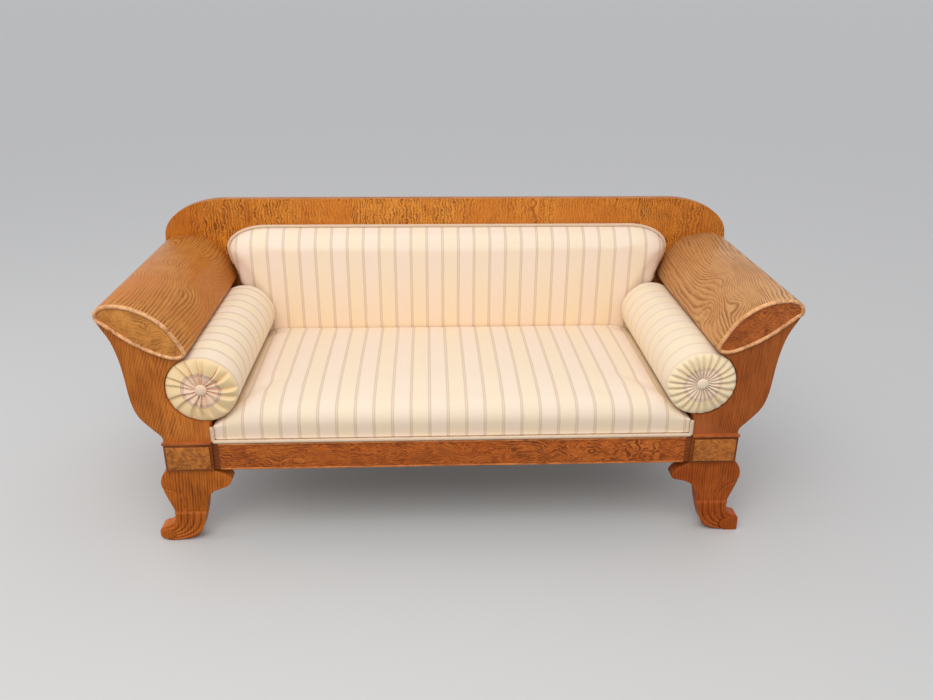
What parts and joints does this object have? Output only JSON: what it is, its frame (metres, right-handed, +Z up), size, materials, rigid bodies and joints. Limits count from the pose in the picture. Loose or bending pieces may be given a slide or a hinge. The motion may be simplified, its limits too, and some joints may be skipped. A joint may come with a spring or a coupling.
{
  "type": "settee",
  "caption": "Show-wood settee with lens-ended scroll arms, carved scroll feet, striped sprung seat and back, and two loose round bolsters",
  "frame": {"origin": "on the floor, midway along the settee's length and depth", "axes": "+X to the viewer's right along the settee, -Y towards the front, +Z up"},
  "size_m": [1.986, 0.795, 0.9],
  "materials": {
    "show_wood": "shellac-polished elm, satin, warm honey brown",
    "burr_veneer": "polished burr veneer, satin",
    "core_wood": "bare aged pine",
    "cover_fabric": "woven cotton stripe, cream, pale peach and thin grey-brown lines",
    "welt_cotton": "cotton piping",
    "jute": "woven jute webbing and hessian",
    "lining_cloth": "plain unbleached lining cloth",
    "spring_steel": "coppered wire, dull"
  },
  "bodies": {
    "root": {"front_rail": "core_wood", "front_rail_veneer": "burr_veneer", "front_rail_beads": "show_wood", "back_rail": "core_wood", "side_rail_left": "show_wood", "side_rail_right": "show_wood", "seat_end_rail_left": "core_wood", "seat_end_rail_right": "core_wood", "seat_stretchers": "core_wood", "corner_braces": "core_wood", "corner_block_left": "show_wood", "corner_block_right": "show_wood", "corner_panel_left": "burr_veneer", "corner_panel_right": "burr_veneer", "corner_cap_left": "show_wood", "corner_cap_right": "show_wood", "front_leg_left": "show_wood", "front_leg_right": "show_wood", "back_leg_left": "show_wood", "back_leg_right": "show_wood", "arm_sill_left": "core_wood", "arm_sill_right": "core_wood", "arm_front_left": "show_wood", "arm_front_right": "show_wood", "arm_rear_left": "core_wood", "arm_rear_right": "core_wood", "arm_shell_left": "show_wood", "arm_shell_right": "show_wood", "arm_side_left": "show_wood", "arm_side_right": "show_wood", "arm_nook_left": "show_wood", "arm_nook_right": "show_wood", "arm_stringers": "core_wood", "arm_end_panel_left": "burr_veneer", "arm_end_panel_right": "burr_veneer", "arm_end_bead_left": "show_wood", "arm_end_bead_right": "show_wood", "crest_rail": "core_wood", "crest_veneer": "burr_veneer", "back_stile_left": "core_wood", "back_stile_right": "core_wood", "back_bottom_rail": "core_wood", "back_muntins": "core_wood", "back_webbing": "jute", "back_pad": "cover_fabric", "back_welt": "welt_cotton", "back_lining": "lining_cloth", "seat_webbing": "jute", "seat_springs": "spring_steel", "spring_canvas": "jute", "seat_pad": "cover_fabric", "seat_welt": "welt_cotton", "frame_dowels": "core_wood"},
    "left_bolster": {"bolster_left": "cover_fabric", "bolster_buttons_left": "cover_fabric"},
    "right_bolster": {"bolster_right": "cover_fabric", "bolster_buttons_right": "cover_fabric"}
  },
  "joints": [
    {"name": "left_bolster_lift", "type": "slide", "parent": "root", "child": "left_bolster", "axis": [0, -1, 0], "range_m": [0, 0.7]},
    {"name": "right_bolster_lift", "type": "slide", "parent": "root", "child": "right_bolster", "axis": [0, -1, 0], "range_m": [0, 0.7]}
  ]
}
